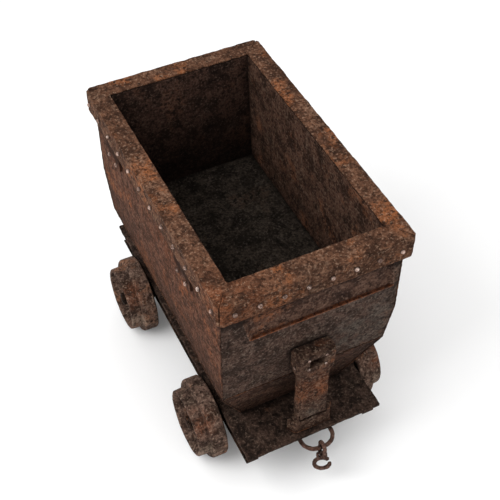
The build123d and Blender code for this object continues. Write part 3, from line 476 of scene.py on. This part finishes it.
def bead_ring(mesh, centre, side, up, radius, travelled):
    """One uneven ring of vertices round a bead, at a distance travelled along it."""
    ripple = RIPPLE_SHARE * sin(2 * pi * travelled / RIPPLE_LENGTH)
    ring = []
    for turn in range(BEAD_SIDES):
        angle = 2 * pi * turn / BEAD_SIDES
        outward = side * cos(angle) + up * sin(angle)
        uneven = UNEVEN_SHARE * noise.noise((centre + outward * radius) / UNEVEN_LENGTH)
        ring.append(mesh.verts.new(centre + outward * radius * (1 + ripple + uneven)))
    return ring


def bead(name, places, radius, body, finish="weld"):
    """A weld bead along straight runs: an uneven, rippled round strip, closed at both ends."""
    mesh = bmesh.new()
    rings = []
    travelled = 0.0
    for start, end in zip(places, places[1:]):
        way = (end - start).normalized()
        side = way.orthogonal().normalized()
        up = way.cross(side)
        count = max(2, int((end - start).length / BEAD_STEP))
        for index in range(count + 1):
            centre = start.lerp(end, index / count)
            travelled += BEAD_STEP
            rings.append(bead_ring(mesh, centre, side, up, radius, travelled))
    for ring, following in zip(rings, rings[1:]):
        for turn in range(BEAD_SIDES):
            after = (turn + 1) % BEAD_SIDES
            mesh.faces.new((ring[turn], ring[after], following[after], following[turn]))
    mesh.faces.new(list(reversed(rings[0])))
    mesh.faces.new(rings[-1])
    for face in mesh.faces:
        face.smooth = True
    data = bpy.data.meshes.new(name)
    mesh.to_mesh(data)
    mesh.free()
    data.materials.append(materials[finish])
    piece = bpy.data.objects.new(name, data)
    bpy.context.scene.collection.objects.link(piece)
    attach(piece, body)


CORNER_WELD = 2.2 * MM      # radii of the beads
WAIST_WELD = 2.6 * MM
SHOE_WELD = 3 * MM
FRAME_WELD = 2.5 * MM
RIM_SEAM = 3.4 * MM
SHOE_WAYS = [(-2, 1), (-1, -2), (1, -2), (2, 1)]        # far left, near left, near right, far right


def corner_words(across, along):
    """The words for one corner of the cart, such as near_left."""
    return ("near_" if along < 0 else "far_") + ("left" if across < 0 else "right")


def weld_tub():
    """The welds up the tub's four corners, and the one round its waist."""
    waist = []
    for across, along in PLAN_CORNERS:
        end_wall = "tub_wall_near" if along < 0 else "tub_wall_far"
        foot = plan_corner("hopper", across, along, -1)
        hip = plan_corner("hopper", across, along, 1)
        knee = Vector((corner("tub_wall_near", across, 0, 0).x, corner(end_wall, 0, along, 0).y, KNEE_Z))
        top = Vector((knee.x, knee.y, band_bottom))
        waist.append(hip)
        bead("weld_corner_" + corner_words(across, along), [foot, hip, knee, top], CORNER_WELD, "tub")
    bead("weld_waist", [*waist, waist[0]], WAIST_WELD, "tub")


def seam_rim():
    """The seams of the rim's four mitres: across the top, and down the cut corner of the band."""
    sunk = Vector((0, 0, 0.7 * RIM_SEAM))
    for across, along in PLAN_CORNERS:
        bar = "rim_near" if along < 0 else "rim_far"
        outer = corner(bar, across, along, 1)
        inner = plan_corner(bar, 0.1 * across, -along, 1)
        run = inner - outer
        cut = outer + run * (RIM_CUT / (abs(run.x) + abs(run.y)))
        inward = Vector((-across, -along, 0)) * 0.4 * RIM_SEAM
        low = Vector((cut.x, cut.y, band_bottom)) + inward
        places = [inner - sunk, cut + inward - sunk, low]
        bead("seam_" + corner_words(across, along), places, RIM_SEAM, "tub", finish="rim")


def weld_frame():
    """The welds round the latch shoe, along the sills and round the feet of the tip brackets."""
    shoe_base = [plan_corner("latch_shoe", across, along, -1) for across, along in SHOE_WAYS]
    bead("weld_shoe", shoe_base, SHOE_WELD, "frame")
    for side_word, inner in (("left", 1), ("right", -1)):
        ends = [corner("sill_" + side_word, inner, along, 1) for along in (-1, 1)]
        bead("weld_sill_" + side_word, ends, FRAME_WELD, "frame")
        bracket = "tip_bracket_" + side_word
        feet = [plan_corner(bracket, across, along, -1) for across, along in PLAN_CORNERS]
        bead("weld_bracket_" + side_word, [*feet, feet[0]], FRAME_WELD, "frame")


weld_tub()
seam_rim()
weld_frame()


# ---------------------------------------------------------------- stage
def add_floor():
    """A plain pale floor."""
    mesh = bmesh.new()
    mesh.faces.new([mesh.verts.new((x * FLOOR_HALF, y * FLOOR_HALF, 0)) for x, y in PLAN_CORNERS])
    data = bpy.data.meshes.new("stage_floor")
    mesh.to_mesh(data)
    mesh.free()
    floor = bpy.data.objects.new("stage_floor", data)
    bpy.context.scene.collection.objects.link(floor)
    paint = bpy.data.materials.new("stage_white")
    paint.use_nodes = True
    bsdf = paint.node_tree.nodes["Principled BSDF"]
    bsdf.inputs["Base Color"].default_value = (FLOOR_WHITE, FLOOR_WHITE, FLOOR_WHITE, 1)
    bsdf.inputs["Roughness"].default_value = 0.9
    bsdf.inputs["Specular IOR Level"].default_value = 0.1
    data.materials.append(paint)


def add_light(name, place, size, power):
    """A square soft light turned towards the middle of the cart. size is in metres, power in watts."""
    data = bpy.data.lights.new(name, "AREA")
    data.size = size
    data.energy = power
    light = bpy.data.objects.new(name, data)
    light.location = place
    light.rotation_euler = (Vector(LIGHT_AIM) - Vector(place)).to_track_quat("-Z", "Y").to_euler()
    bpy.context.scene.collection.objects.link(light)


def add_camera():
    """The camera, set back from its target along its line of sight."""
    azimuth = radians(CAMERA_AZIMUTH)
    elevation = radians(CAMERA_ELEVATION)
    back = Vector((sin(azimuth) * cos(elevation), -cos(azimuth) * cos(elevation), sin(elevation)))
    data = bpy.data.cameras.new("camera")
    data.lens = CAMERA_LENS
    camera = bpy.data.objects.new("camera", data)
    camera.location = CAMERA_TARGET + back * CAMERA_DISTANCE
    camera.rotation_euler = (-back).to_track_quat("-Z", "Y").to_euler()
    bpy.context.scene.collection.objects.link(camera)
    bpy.context.scene.camera = camera


def add_world():
    """Even white light from all round, and plain colours in the render."""
    world = bpy.data.worlds.new("studio")
    world.use_nodes = True
    background = world.node_tree.nodes["Background"]
    background.inputs["Color"].default_value = (1, 1, 1, 1)
    background.inputs["Strength"].default_value = WORLD_WHITE
    bpy.context.scene.world = world
    bpy.context.scene.view_settings.view_transform = "Standard"


add_floor()
add_light("key", (-2.3, -0.3, 3.0), size=2.2, power=80)
add_light("fill", (2.4, -1.0, 3.0), size=2.0, power=22)
add_camera()
add_world()
